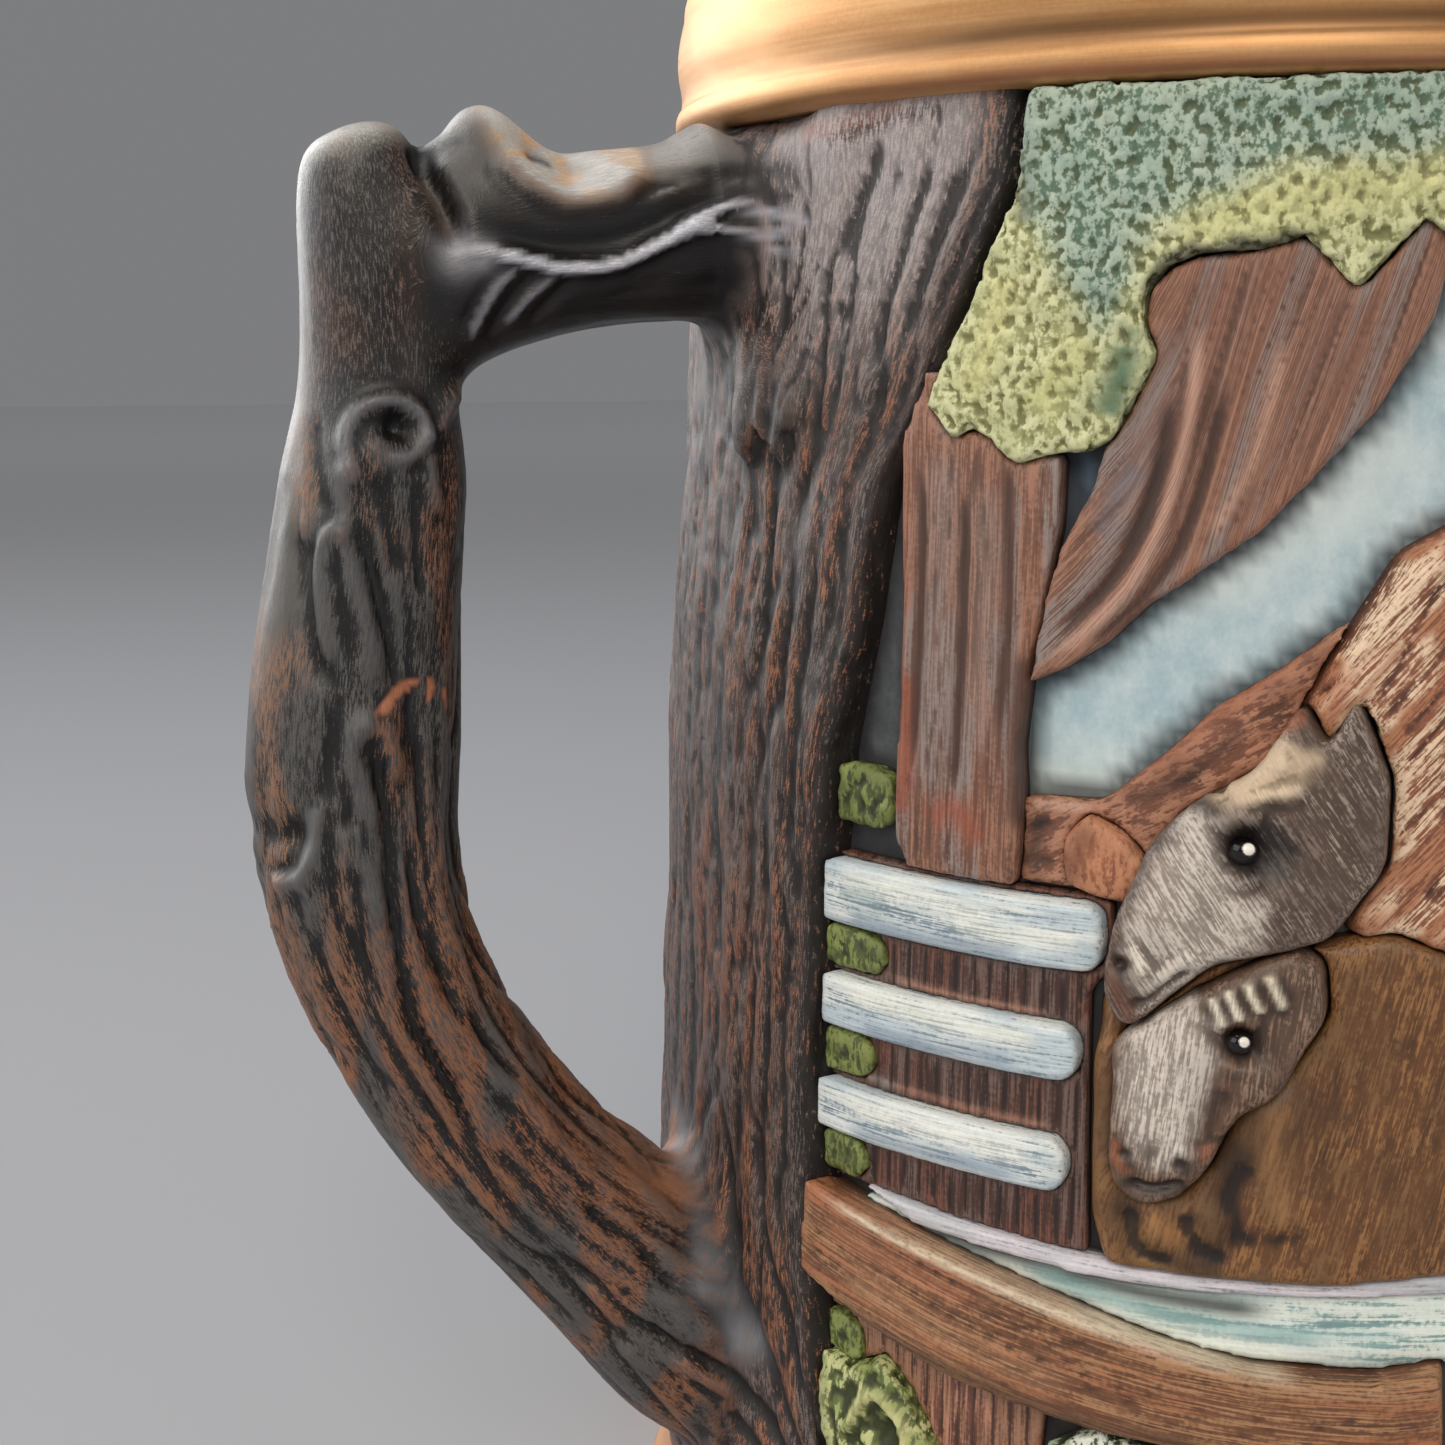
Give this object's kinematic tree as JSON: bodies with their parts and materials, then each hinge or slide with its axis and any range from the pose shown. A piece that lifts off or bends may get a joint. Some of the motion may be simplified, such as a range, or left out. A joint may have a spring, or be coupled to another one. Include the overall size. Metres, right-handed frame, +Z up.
{
  "type": "beer stein",
  "caption": "Ceramic relief beer stein without a lid, with a tree-branch handle and a raised, painted picture of horses at a trough.",
  "frame": {"origin": "centre of the foot's resting plane, on the vessel's axis", "axes": "+Z up along the vessel's axis; the handle points to -X; the animals' heads face -Y"},
  "size_m": [0.1584, 0.12, 0.162],
  "materials": {
    "bark_paint": "hand-painted near-black bark over a terracotta body, satin",
    "copper_lustre": "metallic copper-gold paint, satin",
    "clay_glaze": "clear gloss glaze inside and underneath",
    "leaf_paint": "dabbed green paint over stippled clay, satin",
    "oak_paint": "brushed red-brown paint, satin",
    "whitewash_paint": "dry-brushed blue-white paint, satin",
    "board_paint": "brushed dark brown paint, satin",
    "moss_paint": "dabbed olive paint, satin",
    "water_paint": "pale blue-green paint, gloss",
    "coat_paint": "dry-brushed grey and brown coat, satin",
    "rust_paint": "rust-brown paint, satin",
    "blossom_paint": "dabbed white and green paint, satin"
  },
  "bodies": {
    "root": {"vessel": "clay_glaze", "rim_band": "copper_lustre", "foot_band": "copper_lustre", "trunk": "bark_paint", "handle_arm": "bark_paint", "handle_stub": "bark_paint", "handle_knob": "bark_paint", "handle_limb": "bark_paint", "handle_root": "bark_paint", "knot_ring": "bark_paint", "bark_flap": "bark_paint", "canopy_high": "leaf_paint", "canopy_low": "leaf_paint", "oak_trunk": "oak_paint", "oak_bough": "oak_paint", "bank": "rust_paint", "ear_stone": "rust_paint", "rail_top": "whitewash_paint", "rail_mid": "whitewash_paint", "rail_low": "whitewash_paint", "fence_boards": "board_paint", "moss_tufts": "moss_paint", "trough_front": "board_paint", "trough_back": "whitewash_paint", "trough_water": "water_paint", "ivy_clump": "moss_paint", "ground_boards": "rust_paint", "blossom_bush": "blossom_paint", "mare_head": "coat_paint", "mare_neck": "coat_paint", "mare_body": "coat_paint", "foal_head": "coat_paint", "foal_body": "coat_paint", "canopy_right": "leaf_paint", "canopy_left": "leaf_paint", "oak_right": "oak_paint", "oak_left": "oak_paint", "hill": "moss_paint", "grazing_horse": "coat_paint", "pasture_rail_top": "whitewash_paint", "pasture_rail_low": "whitewash_paint", "pasture_posts": "board_paint", "bush_right": "moss_paint", "bush_left": "moss_paint", "grass_right": "moss_paint", "grass_left": "moss_paint"}
  },
  "joints": []
}
